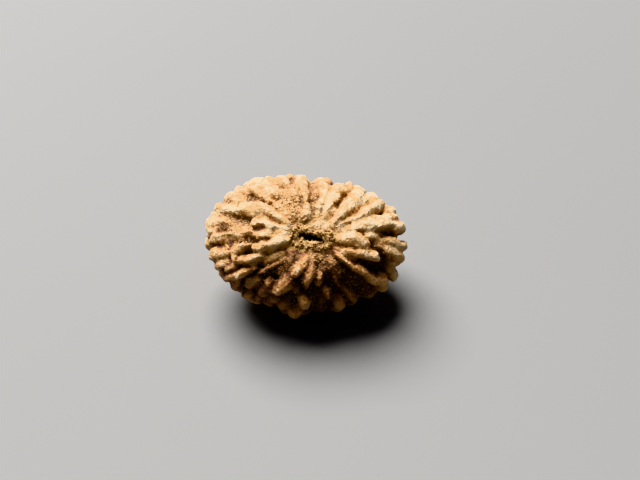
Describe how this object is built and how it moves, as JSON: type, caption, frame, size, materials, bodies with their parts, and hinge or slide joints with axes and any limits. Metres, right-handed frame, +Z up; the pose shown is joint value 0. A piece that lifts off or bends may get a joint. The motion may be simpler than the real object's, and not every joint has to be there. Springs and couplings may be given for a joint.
{
  "type": "rudraksha seed",
  "caption": "Oval woody seed stone covered in knobbly ridges that run from pole to pole, with furrows between its faces and a natural channel along its axis.",
  "frame": {"origin": "centre of the bounding box in plan, at the level of the flat spot that the seed rests on", "axes": "+X along the seed's long axis, +Z up from the surface, +Y away from the side that the open pole leans to"},
  "size_m": [0.0278, 0.0194, 0.0188],
  "materials": {
    "seed": "dry satin, light tan on the crests and dark red-brown in the grooves"
  },
  "bodies": {
    "root": {"seed": "seed"}
  },
  "joints": []
}
